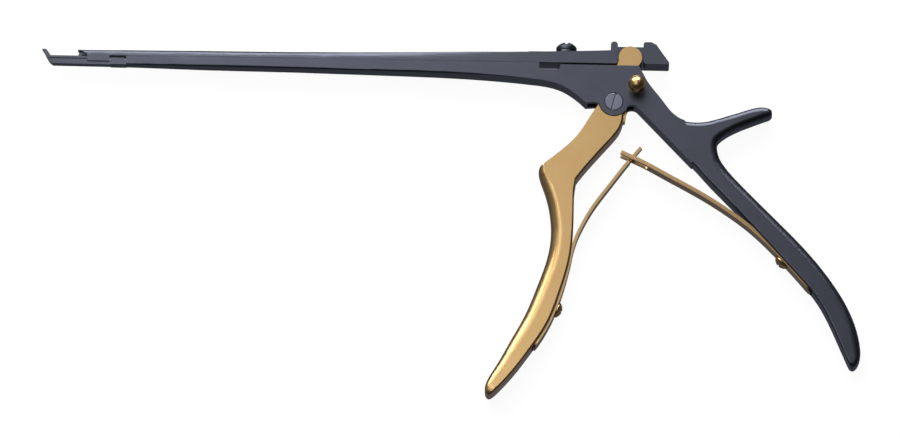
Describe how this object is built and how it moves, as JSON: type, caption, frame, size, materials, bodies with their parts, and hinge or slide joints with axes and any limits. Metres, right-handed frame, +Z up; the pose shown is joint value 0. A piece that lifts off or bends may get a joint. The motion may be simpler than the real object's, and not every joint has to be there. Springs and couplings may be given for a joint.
{
  "type": "bone rongeur",
  "caption": "Take-apart bone rongeur: scooped upper jaw slides on a slim shaft toward a tilted foot plate, driven by a hinged finger grip with crossed leaf springs.",
  "frame": {"origin": "where the handle pivot's axis meets the resting plane, on the side without the lock's ball", "axes": "+X along the shaft from the jaws toward the handles, +Y square to the shaft toward the sliding jaw, +Z up from the resting side along the pivot's axis"},
  "size_m": [0.2877, 0.13, 0.0161],
  "materials": {
    "black_coating": "satin, hard thin coating on ground steel",
    "gold_coating": "satin, hard gold-tone coating on ground steel",
    "gold_spring": "satin, hard gold-tone coating on ground spring steel",
    "plain_steel": "drawn wire"
  },
  "bodies": {
    "frame": {"fixed_shaft": "black_coating", "pivot_screw": "black_coating", "rear_spring_screw": "gold_coating", "lock_plug": "black_coating", "lock_spring": "plain_steel"},
    "handle": {"front_handle": "gold_coating", "front_spring_screw": "gold_coating"},
    "slide": {"slide": "black_coating", "guide_screw": "black_coating", "guide_block": "black_coating"},
    "lock": {"lock_knob": "gold_coating", "lock_pin": "gold_coating"},
    "front_leaf": {"front_spring": "gold_spring"},
    "rear_leaf": {"rear_spring": "gold_spring"}
  },
  "joints": [
    {"name": "handle_pivot", "type": "hinge", "parent": "frame", "child": "handle", "pos_m": [0, 0, 0.004], "axis": [0, 0, 1], "range_deg": [0, 30.9], "stiffness_Nm_per_rad": 1.2, "springref_deg": -17.19},
    {"name": "slide_travel", "type": "slide", "parent": "frame", "child": "slide", "axis": [-1, 0, 0], "range_m": [0, 0.0094]},
    {"name": "lock_press", "type": "slide", "parent": "frame", "child": "lock", "axis": [0, 0, -1], "range_m": [0, 0.0016], "stiffness_N_per_m": 900, "springref_m": -0.0005, "deforming": ["lock_spring"]},
    {"name": "front_leaf_flex", "type": "hinge", "parent": "handle", "child": "front_leaf", "pos_m": [-0.0145, -0.055, 0.004], "axis": [0, 0, 1], "range_deg": [0, 9], "deforming": ["front_spring"]},
    {"name": "rear_leaf_flex", "type": "hinge", "parent": "frame", "child": "rear_leaf", "pos_m": [0.05, -0.046, 0.004], "axis": [0, 0, -1], "range_deg": [0, 9], "deforming": ["rear_spring"]}
  ],
  "couplings": [
    {"joint": "slide_travel", "follows": "handle_pivot", "m_per_rad": 0.01742},
    {"joint": "front_leaf_flex", "follows": "handle_pivot", "ratio": 0.27},
    {"joint": "rear_leaf_flex", "follows": "handle_pivot", "ratio": 0.27}
  ]
}
